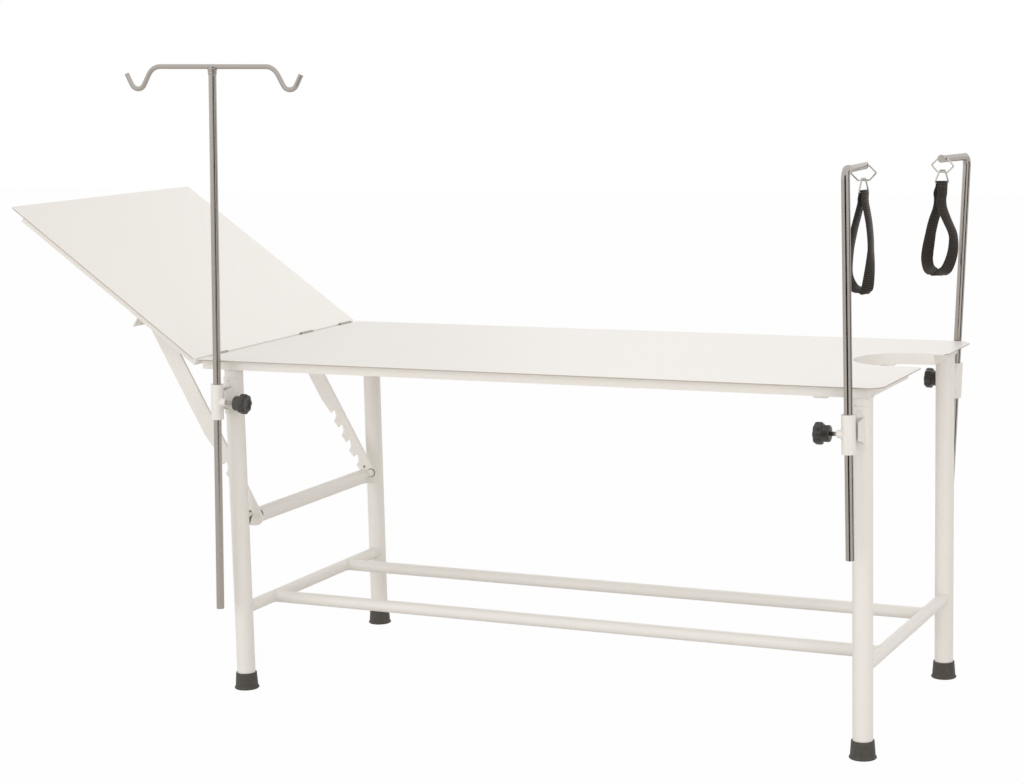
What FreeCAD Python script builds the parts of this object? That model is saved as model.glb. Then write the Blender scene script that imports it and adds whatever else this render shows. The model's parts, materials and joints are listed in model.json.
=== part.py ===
import FreeCAD, Part
import os
from math import sin, cos, tan, radians, degrees, sqrt, pi

# Gynaecological examination table: a welded tube frame with a fixed sheet-steel top, a hinged back
# section on two notched racks, a drip pole with two hooks and two lithotomy poles with foot straps.
# Millimetres. +X runs from the head end to the foot end, +Y from the near side to the far side and
# +Z is up. The origin is on the floor, below the middle of the whole outline.

# Table height, leg positions and tubes
table_height = 700.0
leg_spacing_x = 1335.0
leg_spacing_y = 584.0
leg_radius = 19.0
leg_wall = 1.6
stretcher_radius = 12.5
stretcher_wall = 1.4
stretcher_height = 170.0
near_stretcher_inset = 122.0
far_stretcher_inset = 147.0
weld_gap = 0.1

# Rubber feet
foot_height = 35.0
foot_floor = 6.0
foot_flange_radius = 26.0
foot_flange_height = 4.5
foot_waist_radius = 23.8
foot_top_radius = 21.6

# Rectangular rail tube and the sheets that it carries
rail_width = 40.0
rail_height = 20.0
rail_wall = 1.5
rail_outset = 4.0
sheet_thickness = 2.0
sheet_overhang = 22.0
sheet_foot_overhang = 27.0
sheet_foot_corner = 32.0
sheet_corner = 6.0
mid_rail_places = (0.33, 0.64)
head_overhang = 60.0

# Cutout at the foot end, with its rim and the two braces beside it
cutout_width = 184.0
cutout_depth = 160.0
cutout_offset = 40.0
cutout_lip = 14.0
rim_thickness = 2.0
brace_width = 30.0
brace_thickness = 5.0
brace_bevel = 6.0
brace_setback = 119.0
brace_rail_gap = 10.0

# Back section and its hinges
back_angle = 35.0
back_length = 540.0
back_rail_setback = 25.0
hinge_reach = 5.0
hinge_drop = 1.0
hinge_radius = 4.6
hinge_pin_radius = 2.2
hinge_running = 0.05
hinge_width = 48.0
hinge_leaf = 1.5
hinge_leaf_height = 16.0
hinge_knuckle_gap = 0.4
hinge_places = (-236.0, 117.0, 291.0)
angle_place = 150.5
angle_width = 50.0
angle_drop = 27.0
angle_thickness = 3.0
angle_overhang = 10.0

# Notched racks
rack_inset = 46.0
rack_thickness = 5.0
rack_width = 36.0
rack_length = 445.0
rack_lean = 29.1
rack_pivot_place = 144.0
rack_pivot_drop = 43.0
notch_count = 5
notch_pitch = 38.0
last_notch = 429.0
rack_hole_running = 0.06
pivot_radius = 5.0
pivot_head_radius = 9.0
pivot_head = 4.0
side_play = 0.8
lug_width = 30.0
lug_thickness = 4.0
grip_radius = 16.0
grip_wall = 1.6
grip_along = 441.0
grip_across = -12.0
end_bolt_radius = 4.0
end_bolt_along = 443.0
end_bolt_across = 10.5
end_bolt_head_radius = 8.0
end_bolt_head = 3.5
rest_pin_radius = 5.0
rest_pin_seat_along = 5.3
rest_pin_seat_across = -7.0
rest_pin_play = 0.5

# Pole sockets: sleeve, saddle, flanges, threaded boss and star knob
rod_radius = 8.0
rod_running = 0.08
sleeve_radius = 13.0
sleeve_length = 72.0
sleeve_outset = 58.0
saddle_thickness = 3.0
saddle_half_angle = 48.0
saddle_length = 62.0
saddle_tab = 14.0
saddle_rail_gap = 16.0
flange_thickness = 3.0
flange_spread = 9.0
flange_tall = 56.0
flange_short = 34.0
flange_setback = 5.0
screw_radius = 3.4
screw_head = 2.0
screw_pitch = 12.0
boss_base_radius = 11.0
boss_tip_radius = 7.0
boss_reach = 21.0
stud_radius = 4.0
stud_running = 0.06
stud_tip_gap = 0.4
knob_start = 34.0
drip_knob_start = 43.0
knob_hub_radius = 15.5
knob_hub_length = 13.0
knob_star_radius = 21.0
knob_star_length = 16.0
knob_lobes = 7
knob_dish_radius = 9.0

# Drip pole
drip_top = 1299.0
drip_bottom = 183.0
drip_lean = 1.9
drip_bar_radius = 5.0
drip_bar_half = 124.0
drip_hook_bend = 32.0
drip_hook_slope = 60.0
drip_hook_drop = 23.5
drip_hook_throat = 17.0
drip_hook_rise = 62.0
drip_hook_tip = 24.0
drip_bar_tilt = 0.8

# Lithotomy poles, links and straps
litho_length = 705.0
near_litho_top = 1091.0
far_litho_top = 1078.0
near_litho_lean = -0.6
far_litho_lean = 2.7
litho_arm = 125.0
litho_bend = 18.0
near_swivel = -1.0
far_swivel = -10.0
near_foot_socket = -8.5
drip_socket = -5.5
far_foot_socket = 7.0
link_wire = 1.6
link_hole = 2.6
link_end_margin = 8.0
link_half_width = 24.0
link_half_flat = 11.0
link_height = 26.0
link_bend = 3.0
play = 0.3
dee_top_half = 6.0
dee_bottom_half = 17.0
dee_height = 25.0
near_dee_turn = 75.0
far_dee_turn = 60.0
strap_width = 24.0
strap_thickness = 2.2
strap_stitched = 32.0
strap_drop = 150.0
near_loop_width = 58.0
far_loop_width = 116.0

# Places worked out from the sizes above
half_y = leg_spacing_y / 2
rail_top = table_height - sheet_thickness
rail_bottom = rail_top - rail_height
rail_face = half_y + leg_radius + rail_outset
rail_inner = rail_face - rail_width
frame_head = -head_overhang
frame_foot = leg_spacing_x + leg_radius
sheet_half = rail_face + sheet_overhang
sheet_foot = frame_foot + sheet_foot_overhang
hinge_x = frame_head - hinge_reach
hinge_z = table_height - hinge_drop
back_start = hinge_x - hinge_reach
back_end = hinge_x - back_length
back_rail_end = back_end + back_rail_setback
rack_y = half_y - rack_inset
sleeve_height = rail_bottom - saddle_rail_gap - saddle_tab - saddle_length / 2
pivot_flat = (hinge_x - rack_pivot_place, hinge_z - rack_pivot_drop)
lift = radians(back_angle)

parts = {}
bracket_screws = []


def vec(x, y, z):
    return FreeCAD.Vector(x, y, z)


X = vec(1, 0, 0)
Y = vec(0, 1, 0)
Z = vec(0, 0, 1)


def box(x0, x1, y0, y1, z0, z1):
    return Part.makeBox(x1 - x0, y1 - y0, z1 - z0, vec(x0, y0, z0))


def rod(radius, start, end):
    run = end - start
    return Part.makeCylinder(radius, run.Length, start, run)


def tube(radius, wall, start, end):
    return rod(radius, start, end).cut(rod(radius - wall, start, end))


def turned(profile, place=vec(0, 0, 0)):
    """Solid of revolution about Z from (radius, height) corners."""
    corners = [vec(r, 0, h) for r, h in profile]
    face = Part.Face(Part.makePolygon(corners + [corners[0]]))
    solid = face.revolve(vec(0, 0, 0), Z, 360)
    solid.translate(place)
    return solid


def prism(corners, run):
    """Solid swept straight from a closed polygon of points."""
    return Part.Face(Part.makePolygon(list(corners) + [corners[0]])).extrude(run)


def rounded_plate(x0, x1, y0, y1, z0, z1, radii):
    """Plate whose four upright edges have the radii (x0y0, x1y0, x1y1, x0y1)."""
    plate = box(x0, x1, y0, y1, z0, z1)
    corners = [(x0, y0), (x1, y0), (x1, y1), (x0, y1)]
    for (x, y), radius in zip(corners, radii):
        edges = [e for e in plate.Edges if abs(e.BoundBox.ZLength - (z1 - z0)) < 0.01
                 and abs(e.Vertexes[0].X - x) < 0.01 and abs(e.Vertexes[0].Y - y) < 0.01]
        if radius > 0:
            plate = plate.makeFillet(radius, edges)
    return plate


def bar_bend(radius, start, direction, centre, axis, angle):
    """Piece of torus: a disc at start, turned about an axis through centre."""
    disc = Part.Face(Part.Wire(Part.makeCircle(radius, start, direction)))
    return disc.revolve(centre, axis, angle)


def wire_rod(points, radius, bend, closed=False):
    """Round rod of straight runs joined by tangent bends."""
    count = len(points)
    arcs = {}
    for i in (range(count) if closed else range(1, count - 1)):
        here = points[i]
        back = (points[i - 1] - here).normalize()
        ahead = (points[(i + 1) % count] - here).normalize()
        half = back.getAngle(ahead) / 2
        setback = bend / tan(half)
        centre = here + (back + ahead).normalize() * (bend / sin(half))
        arcs[i] = (here + back * setback, here + ahead * setback, centre, ahead.cross(back),
                   180 - degrees(2 * half), back)
    solids = []
    for i in range(count if closed else count - 1):
        j = (i + 1) % count
        solids.append(rod(radius, arcs[i][1] if i in arcs else points[i],
                          arcs[j][0] if j in arcs else points[j]))
        if j in arcs:
            start, end, centre, axis, angle, back = arcs[j]
            solids.append(bar_bend(radius, start, back, centre, axis, angle))
    return solids[0].fuse(solids[1:]).removeSplitter()


def turn(shape, centre, axis, angle):
    moved = shape.copy()
    moved.rotate(centre, axis, angle)
    return moved


def mirrored(shape):
    return shape.mirror(vec(0, 0, 0), Y)


def add(name, *solids):
    parts[name] = Part.makeCompound(list(solids)) if len(solids) > 1 else solids[0]


# Legs, rubber feet and stretchers
def leg_axis(end, side):
    return vec(leg_spacing_x if end == "foot" else 0, half_y if side == "far" else -half_y, 0)


def leg_core(end, side):
    """Solid cylinder a weld gap larger than the leg, for coping what meets it."""
    return Part.makeCylinder(leg_radius + weld_gap, table_height, leg_axis(end, side), Z)


def make_legs():
    for end in ("head", "foot"):
        for side in ("near", "far"):
            base = leg_axis(end, side)
            add("leg_%s_%s" % (side, end),
                tube(leg_radius, leg_wall, base + Z * foot_floor, base + Z * rail_bottom))
            bore = leg_radius + weld_gap
            add("rubber_foot_%s_%s" % (side, end), turned([
                (0, 0), (foot_flange_radius - 1.5, 0), (foot_flange_radius, 1.5),
                (foot_flange_radius, foot_flange_height), (foot_waist_radius, foot_flange_height + 3),
                (foot_top_radius, foot_height), (bore, foot_height), (bore, foot_floor),
                (0, foot_floor)], base))


def make_stretchers():
    middle_z = Z * stretcher_height
    cores = {}
    for end in ("head", "foot"):
        near, far = leg_axis(end, "near"), leg_axis(end, "far")
        cross = tube(stretcher_radius, stretcher_wall, near + middle_z, far + middle_z)
        add("stretcher_" + end, cross.cut([leg_core(end, "near"), leg_core(end, "far")]))
        cores[end] = rod(stretcher_radius + weld_gap, near + middle_z, far + middle_z)
    places = {"near": near_stretcher_inset - half_y, "far": half_y - far_stretcher_inset}
    for side, y in places.items():
        run = tube(stretcher_radius, stretcher_wall,
                   vec(0, y, stretcher_height), vec(leg_spacing_x, y, stretcher_height))
        run = run.cut([cores["head"], cores["foot"]])
        outer = max(run.Solids, key=lambda s: s.Volume)
        add("stretcher_" + side, outer)


# Top frame of rectangular tube
def rail_tube(x0, x1, y0, y1, along):
    outer = box(x0, x1, y0, y1, rail_bottom, rail_top)
    grow = (rail_wall, 0) if along == "y" else (0, rail_wall)
    inner = box(x0 + grow[0], x1 - grow[0], y0 + grow[1], y1 - grow[1],
                rail_bottom + rail_wall, rail_top - rail_wall)
    return outer.cut(inner)


def make_top_frame():
    add("side_rail_near", rail_tube(frame_head, frame_foot, -rail_face, -rail_inner, "x"))
    add("side_rail_far", rail_tube(frame_head, frame_foot, rail_inner, rail_face, "x"))
    add("head_rail", rail_tube(frame_head, frame_head + rail_width, -rail_inner, rail_inner, "y"))
    foot_rail = rail_tube(frame_foot - rail_width, frame_foot, -rail_inner, rail_inner, "y")
    opening = cutout_solid(rail_bottom - 1, rail_top + 1, rim_thickness)[0]
    add("foot_rail", *foot_rail.cut(opening).Solids)
    for number, share in enumerate(mid_rail_places, 1):
        middle = frame_head + share * (frame_foot - frame_head)
        add("mid_rail_%d" % number,
            rail_tube(middle - rail_height / 2, middle + rail_height / 2, -rail_inner, rail_inner, "y"))


# Fixed top sheet with its U-shaped cutout, the rim under it and the braces beside the rim
def cutout_solid(z0, z1, grow=0.0):
    """The U of the cutout between two heights, and the X of its half circle's centre."""
    centre_x = sheet_foot - cutout_depth + cutout_width / 2
    radius = cutout_width / 2 + grow
    disc = Part.makeCylinder(radius, z1 - z0, vec(centre_x, cutout_offset, z0), Z)
    throat = box(centre_x, sheet_foot + 1, cutout_offset - radius, cutout_offset + radius, z0, z1)
    return disc.fuse(throat).removeSplitter(), centre_x


def make_top_sheet():
    sheet = rounded_plate(frame_head, sheet_foot, -sheet_half, sheet_half, rail_top, table_height,
                          (0, sheet_foot_corner, sheet_foot_corner, 0))
    opening, centre_x = cutout_solid(rail_top - 1, table_height + 1)
    sheet = sheet.cut(opening)
    radius = cutout_width / 2
    lips = [e for e in sheet.Edges if abs(e.BoundBox.ZLength - sheet_thickness) < 0.01
            and abs(e.Vertexes[0].X - sheet_foot) < 0.01
            and abs(abs(e.Vertexes[0].Y - cutout_offset) - radius) < 0.01]
    add("fixed_top_sheet", sheet.makeFillet(cutout_lip, lips))
    outer = cutout_solid(rail_bottom, rail_top, rim_thickness)[0]
    inner = cutout_solid(rail_bottom - 1, rail_top + 1)[0]
    beyond = box(frame_foot, centre_x + cutout_width, cutout_offset - radius * 2,
                 cutout_offset + radius * 2, rail_bottom - 1, rail_top + 1)
    add("cutout_rim", outer.cut([inner, beyond]))
    middle = sheet_foot - brace_setback
    reach_y = sqrt((radius + rim_thickness) ** 2 - min(radius, abs(middle - centre_x)) ** 2)
    braces = []
    for sign in (-1, 1):
        inner_y = sign * reach_y + cutout_offset
        outer_y = sign * (rail_face - brace_rail_gap)
        x0, x1 = middle - brace_width / 2, middle + brace_width / 2
        z1, z0 = rail_bottom, rail_bottom - brace_thickness
        end = [vec(x0, inner_y, z1), vec(x1, inner_y, z1), vec(x1 - brace_bevel, inner_y, z0),
               vec(x0, inner_y, z0)]
        braces.append(prism(end, Y * (outer_y - inner_y)))
    add("rim_braces", *braces)


# Back section, drawn flat and then lifted about the hinge axis
def lifted(shape):
    return turn(shape, vec(hinge_x, 0, hinge_z), Y, back_angle)


def lifted_point(x, z):
    dx, dz = x - hinge_x, z - hinge_z
    return (hinge_x + dx * cos(lift) + dz * sin(lift), hinge_z - dx * sin(lift) + dz * cos(lift))


def make_back_section():
    sheet = rounded_plate(back_end, back_start, -sheet_half, sheet_half, rail_top, table_height,
                          (sheet_corner, 0, 0, sheet_corner))
    add("back_sheet", lifted(sheet))
    add("back_rail_near", lifted(rail_tube(back_rail_end, back_start, -rail_face, -rail_inner, "x")))
    add("back_rail_far", lifted(rail_tube(back_rail_end, back_start, rail_inner, rail_face, "x")))
    add("back_top_rail", lifted(rail_tube(back_rail_end, back_rail_end + rail_width,
                                          -rail_inner, rail_inner, "y")))
    add("back_hinge_rail", lifted(rail_tube(back_start - rail_width, back_start,
                                            -rail_inner, rail_inner, "y")))
    foot_side = hinge_x - angle_place + angle_width / 2
    head_side = foot_side - angle_width
    half = rail_face - angle_overhang
    outline = [vec(foot_side, -half, rail_bottom), vec(head_side, -half, rail_bottom),
               vec(head_side, -half, rail_bottom - angle_drop),
               vec(head_side + angle_thickness, -half, rail_bottom - angle_drop),
               vec(head_side + angle_thickness, -half, rail_bottom - angle_thickness),
               vec(foot_side, -half, rail_bottom - angle_thickness)]
    add("rack_angle", lifted(prism(outline, Y * (2 * half))))


def make_hinges():
    knuckle = (hinge_width - 2 * hinge_knuckle_gap) / 3
    bore = hinge_pin_radius + hinge_running
    fixed, moving, pins = [], [], []
    for middle in hinge_places:
        start = middle - hinge_width / 2
        pins.append(rod(hinge_pin_radius, vec(hinge_x, start, hinge_z),
                        vec(hinge_x, start + hinge_width, hinge_z)))
        for slot in range(3):
            y0 = start + slot * (knuckle + hinge_knuckle_gap)
            y1 = y0 + knuckle
            side = -1 if slot == 1 else 1
            barrel = rod(hinge_radius, vec(hinge_x, y0, hinge_z), vec(hinge_x, y1, hinge_z))
            face = hinge_x + side * hinge_reach
            inner = face - side * hinge_leaf
            x0, x1 = min(face, inner), max(face, inner)
            leaf = box(x0, x1, y0, y1, hinge_z - hinge_leaf_height, hinge_z)
            wing = barrel.fuse(leaf).cut(rod(bore, vec(hinge_x, y0 - 1, hinge_z),
                                             vec(hinge_x, y1 + 1, hinge_z)))
            (moving if slot == 1 else fixed).append(wing)
    add("hinge_fixed_knuckles", *fixed)
    add("hinge_moving_knuckles", *[lifted(wing) for wing in moving])
    add("hinge_pins", *pins)


# Racks, in their own plane: u runs down the rack from its pivot, w runs across to the foot side
rack_u = vec(sin(radians(rack_lean)), 0, -cos(radians(rack_lean)))
rack_w = vec(cos(radians(rack_lean)), 0, sin(radians(rack_lean)))
pivot_x, pivot_z = lifted_point(*pivot_flat)


def rack_point(u, w, y):
    return vec(pivot_x, y, pivot_z) + rack_u * u + rack_w * w


def rack_outline(y):
    """Rounded bar with hooked notches down its head-side edge."""
    half = rack_width / 2
    tooth_edge = half - 3.0
    last_bevel = radians(21.0)

    def at(u, w):
        return rack_point(u, w, y)
    edges = []
    first = last_notch - (notch_count - 1) * notch_pitch
    shoulder = first - notch_pitch
    cursor = at(0, -half)

    def line(to):
        nonlocal cursor
        edges.append(Part.LineSegment(cursor, to).toShape())
        cursor = to

    def arc(through, to):
        nonlocal cursor
        edges.append(Part.Arc(cursor, through, to).toShape())
        cursor = to
    line(at(shoulder, -half))
    line(at(first - 17, -tooth_edge))
    for number in range(notch_count):
        u = first + number * notch_pitch
        line(at(u - 1.5, -12.2))
        arc(at(u - 0.4, -11.9), at(u - 0.6, -10.6))
        line(at(u - 2.2, -3.2))
        arc(at(u + 0.2, -0.4), at(u + 3.2, -1.3))
        line(at(u + 9.0, -2.4))
        if number < notch_count - 1:
            arc(at(u + 14.5, -6.2), at(u + 18.5, -12.6))
            arc(at(u + 20.0, -14.6), at(u + notch_pitch - 15, -tooth_edge + 0.6))
    line(at(rack_length + half * sin(last_bevel), -half * cos(last_bevel)))
    arc(at(rack_length + half, 0), at(rack_length, half))
    line(at(0, half))
    arc(at(-half, 0), at(0, -half))
    return Part.Face(Part.Wire(edges))


def make_racks():
    bore = pivot_radius + rack_hole_running
    for side, sign in (("near", -1), ("far", 1)):
        inner_y = sign * (rack_y - rack_thickness / 2)
        outer_y = sign * (rack_y + rack_thickness / 2)
        bar = rack_outline(inner_y).extrude(Y * (outer_y - inner_y))
        holes = [rod(bore, rack_point(0, 0, inner_y - 1), rack_point(0, 0, inner_y + 1)),
                 rod(bore, rack_point(0, 0, rack_y * sign - rack_thickness),
                     rack_point(0, 0, rack_y * sign + rack_thickness)),
                 rod(end_bolt_radius + hinge_running,
                     rack_point(end_bolt_along, end_bolt_across, rack_y * sign - rack_thickness),
                     rack_point(end_bolt_along, end_bolt_across, rack_y * sign + rack_thickness))]
        add("rack_" + side, bar.cut(holes))
    inner = rack_y - rack_thickness / 2
    start, end = (rack_point(grip_along, grip_across, s * inner) for s in (-1, 1))
    add("grip_tube", tube(grip_radius, grip_wall, start, end))
    bolts = []
    for sign in (-1, 1):
        head_y = sign * (inner - end_bolt_head)
        tail_y = sign * (rack_y + rack_thickness / 2 + 2.5)
        face_y = sign * inner
        shank = rod(end_bolt_radius, rack_point(end_bolt_along, end_bolt_across, face_y),
                    rack_point(end_bolt_along, end_bolt_across, tail_y))
        head = rod(end_bolt_head_radius, rack_point(end_bolt_along, end_bolt_across, head_y),
                   rack_point(end_bolt_along, end_bolt_across, face_y))
        head = head.cut(rod(grip_radius + weld_gap, start, end))
        bolts.append(head.fuse(shank))
    add("rack_end_bolts", *bolts)


def make_rack_mounts():
    lugs, pivots = [], []
    half = lug_width / 2
    px, pz = pivot_flat
    top = rail_bottom - angle_thickness
    for sign in (-1, 1):
        rack_out = rack_y + rack_thickness / 2
        lug_in = rack_out + side_play
        lug_out = lug_in + lug_thickness
        plate = box(px - half, px + half, min(sign * lug_in, sign * lug_out),
                    max(sign * lug_in, sign * lug_out), pz, top)
        round_end = rod(half, vec(px, sign * lug_in, pz), vec(px, sign * lug_out, pz))
        bore = rod(pivot_radius + hinge_running, vec(px, sign * (lug_in - 1), pz),
                   vec(px, sign * (lug_out + 1), pz))
        lugs.append(lifted(plate.fuse(round_end).cut(bore)))
        head_face = rack_y - rack_thickness / 2 - side_play
        head = rod(pivot_head_radius, vec(px, sign * (head_face - pivot_head), pz),
                   vec(px, sign * head_face, pz))
        shank = rod(pivot_radius, vec(px, sign * head_face, pz), vec(px, sign * (lug_out + 5), pz))
        corners = [vec(px + pivot_head_radius * cos(radians(a)), sign * lug_out,
                       pz + pivot_head_radius * sin(radians(a))) for a in range(0, 360, 60)]
        nut = prism(corners, Y * (sign * 4.0))
        pivots.append(lifted(head.fuse([shank, nut])))
    add("rack_lugs", *lugs)
    add("rack_pivot_bolts", *pivots)
    pins = []
    for side, sign in (("near", -1), ("far", 1)):
        along = last_notch + rest_pin_seat_along
        tip = rack_point(along, rest_pin_seat_across,
                         sign * (rack_y + rack_thickness / 2 + rest_pin_play))
        root = rack_point(along, rest_pin_seat_across, sign * half_y)
        pins.append(rod(rest_pin_radius, tip, root).cut(leg_core("head", side)))
    add("rest_pins", *pins)


# Pole socket, drawn at a leg on the far side and mirrored for the near side
def make_socket(name, end, side, offset, lean, knob_side, start):
    """Socket on one leg: offset shifts the sleeve along X, knob_side is +1 or -1 along X and
    start is where the knob's hub begins."""
    leg = leg_axis(end, "far")
    axis_x = leg.x + offset
    axis_y = half_y + sleeve_outset
    low, high = sleeve_height - sleeve_length / 2, sleeve_height + sleeve_length / 2
    centre = vec(axis_x, axis_y, sleeve_height)
    bore = rod(rod_radius + rod_running, centre - Z * sleeve_length, centre + Z * sleeve_length)
    across = X * knob_side
    body = rod(sleeve_radius, vec(axis_x, axis_y, low), vec(axis_x, axis_y, high))
    boss = Part.makeCone(boss_base_radius, boss_tip_radius, boss_reach, centre, across)
    thread = rod(stud_radius + stud_running, centre, centre + across * (boss_reach + 5))
    sleeve = turn(body.fuse(boss).cut([bore, thread]), centre, Y, lean)

    wrap = leg_radius + weld_gap
    saddle_low = sleeve_height - saddle_length / 2
    saddle_high = sleeve_height + saddle_length / 2 + saddle_tab
    saddle = tube(wrap + saddle_thickness, saddle_thickness, leg + Z * saddle_low,
                  leg + Z * saddle_high)
    spread = radians(saddle_half_angle)
    far_off = 3 * leg_radius
    wedge = prism([leg + Z * (saddle_low - 1),
                   leg + vec(-far_off * tan(spread), far_off, saddle_low - 1),
                   leg + vec(far_off * tan(spread), far_off, saddle_low - 1)],
                  Z * (saddle_high - saddle_low + 2))
    saddle = saddle.common(wedge)
    flanges = []
    for sign in (-1, 1):
        x0 = leg.x + sign * flange_spread - flange_thickness / 2
        y0, y1 = half_y, axis_y - flange_setback
        z1 = sleeve_height + flange_tall / 2
        profile = [vec(x0, y0, z1), vec(x0, y1, z1 - 6), vec(x0, y1, z1 - flange_short - 6),
                   vec(x0, y0, z1 - flange_tall)]
        flanges.append(prism(profile, X * flange_thickness))
    keep_out = rod(sleeve_radius + weld_gap, vec(axis_x, axis_y, low - 10),
                   vec(axis_x, axis_y, high + 10))
    keep_out = turn(keep_out, centre, Y, lean)
    core = rod(wrap + saddle_thickness + weld_gap, leg + Z * low, leg + Z * (high + flange_tall))
    keep_boss = Part.makeCone(boss_base_radius + weld_gap, boss_tip_radius + weld_gap, boss_reach,
                              centre, across)
    keep_boss = turn(keep_boss, centre, Y, lean)
    flanges = [f.cut([keep_out, core, keep_boss]) for f in flanges]
    flanges = [max(f.Solids, key=lambda s: s.Volume) for f in flanges]

    screws = []
    for number in range(2):
        z = saddle_high - 6 - number * screw_pitch
        seat = vec(leg.x, half_y + wrap + saddle_thickness, z)
        screws.append(turned([(0, 0), (screw_radius, 0), (screw_radius, screw_head * 0.5),
                              (screw_radius * 0.6, screw_head), (0, screw_head)]))
        screws[-1].rotate(vec(0, 0, 0), X, -90)
        screws[-1].translate(seat)

    stud_start = rod_radius + stud_tip_gap
    stud = rod(stud_radius, centre + across * stud_start,
               centre + across * (start + knob_hub_length / 2))
    knob = make_knob()
    knob.rotate(vec(0, 0, 0), Y, 90 * knob_side)
    knob.translate(centre + across * start)
    group = {"sleeve_" + name: [sleeve], "bracket_" + name: [saddle] + flanges,
             "clamp_knob_" + name: [turn(knob.fuse(stud), centre, Y, lean)]}
    for node, solids in group.items():
        add(node, *[mirrored(s) if side == "near" else s for s in solids])
    bracket_screws.extend([mirrored(s) if side == "near" else s for s in screws])
    return vec(axis_x, axis_y if side == "far" else -axis_y, sleeve_height)


def make_knob():
    """Star knob along +Z: a round hub and a lobed head with a dished end."""
    hub = turned([(0, 0), (knob_hub_radius - 1.5, 0), (knob_hub_radius, 1.5),
                  (knob_hub_radius, knob_hub_length), (0, knob_hub_length)])
    low, high = knob_hub_length, knob_hub_length + knob_star_length
    head = turned([(0, low), (knob_star_radius - 2, low), (knob_star_radius, low + 2),
                   (knob_star_radius, high - 3), (knob_star_radius - 3, high), (0, high)])
    flute = knob_star_radius * 0.36
    reach = knob_star_radius + flute * 0.45
    cuts = []
    for lobe in range(knob_lobes):
        angle = 2 * pi * lobe / knob_lobes
        cuts.append(Part.makeCylinder(flute, knob_star_length + 2,
                                      vec(reach * cos(angle), reach * sin(angle),
                                          knob_hub_length - 1), Z))
    dish = Part.makeCylinder(knob_dish_radius, 2.0, Z * (knob_hub_length + knob_star_length - 1.5), Z)
    return hub.fuse(head.cut(cuts)).cut(dish)


# Drip pole with its two hooks
def make_drip_pole(base):
    top = vec(base.x, base.y, drip_top - drip_bar_radius)
    bar = turn(hooked_bar(top), top, Y, -drip_bar_tilt)
    shaft = rod(rod_radius, vec(base.x, base.y, drip_bottom), top)
    cope = rod(drip_bar_radius + weld_gap, top - X * drip_bar_half, top + X * drip_bar_half)
    shaft = shaft.cut(turn(cope, top, Y, -drip_bar_tilt))
    shaft = max(shaft.Solids, key=lambda s: s.Volume)
    add("drip_rod", turn(shaft, base, Y, drip_lean))
    add("drip_hook_bar", turn(bar, base, Y, drip_lean))


def hooked_bar(top):
    """Bar along X whose two ends sweep down and up again into open hooks."""
    steps = [("run", drip_bar_half), ("bend", drip_hook_bend, drip_hook_slope),
             ("run", drip_hook_drop), ("bend", drip_hook_throat, -drip_hook_slope - drip_hook_rise),
             ("run", drip_hook_tip)]
    solids = []
    place, heading = vec(0, 0, 0), 0.0
    for step in steps:
        ahead = vec(cos(heading), 0, -sin(heading))
        if step[0] == "run":
            solids.append(rod(drip_bar_radius, place, place + ahead * step[1]))
            place = place + ahead * step[1]
            continue
        bend, angle = step[1], step[2]
        inward = vec(-sin(heading), 0, -cos(heading)) * (1 if angle > 0 else -1)
        centre = place + inward * bend
        solids.append(bar_bend(drip_bar_radius, place, ahead, centre, Y, angle))
        heading += radians(angle)
        inward = vec(-sin(heading), 0, -cos(heading)) * (1 if angle > 0 else -1)
        place = centre - inward * bend
    half = solids[0].fuse(solids[1:]).removeSplitter()
    other = half.mirror(vec(0, 0, 0), X)
    bar = half.fuse(other).removeSplitter()
    bar.translate(top)
    return bar


# Lithotomy pole, drawn on the far side with its arm inwards, then mirrored for the near side
def make_litho(side, base, top_z, lean, swivel, loop_width):
    here = vec(base.x, abs(base.y), 0)
    centre = vec(here.x, here.y, sleeve_height)
    arm_end = here + vec(0, -litho_arm, top_z)
    points = [here + Z * (top_z - litho_length), here + Z * top_z, arm_end]
    pole = wire_rod(points, rod_radius, litho_bend)
    hole_at = arm_end + Y * link_end_margin
    pole = pole.cut(rod(link_hole, hole_at - X * 20, hole_at + X * 20))
    sag = link_hole - link_wire - play
    link_top = hole_at - Z * sag
    half, flat, tall = link_half_width, link_half_flat, link_height
    corners = [vec(-flat, 0, 0), vec(flat, 0, 0), vec(half, 0, -tall / 2), vec(flat, 0, -tall),
               vec(-flat, 0, -tall), vec(-half, 0, -tall / 2)]
    link = wire_rod([link_top + c for c in corners], link_wire, link_bend, True)
    dee_top = link_top - Z * (tall - 2 * link_wire - play)
    turn_dee = radians(far_dee_turn if side == "far" else -near_dee_turn)
    bar = vec(cos(turn_dee), sin(turn_dee), 0)
    dee_corners = [bar * -dee_top_half, bar * dee_top_half,
                   bar * dee_bottom_half - Z * dee_height, bar * -dee_bottom_half - Z * dee_height]
    dee = wire_rod([dee_top + c for c in dee_corners], link_wire, link_bend, True)
    strap = make_strap(dee_top - Z * dee_height, bar, loop_width)
    for name, solid in (("litho_pole_", pole), ("snap_link_", link), ("strap_dee_", dee),
                        ("foot_strap_", strap)):
        solid = turn(solid, here, Z, swivel)
        solid = turn(solid, centre, Y, lean)
        add(name + side, mirrored(solid) if side == "near" else solid)


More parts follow.
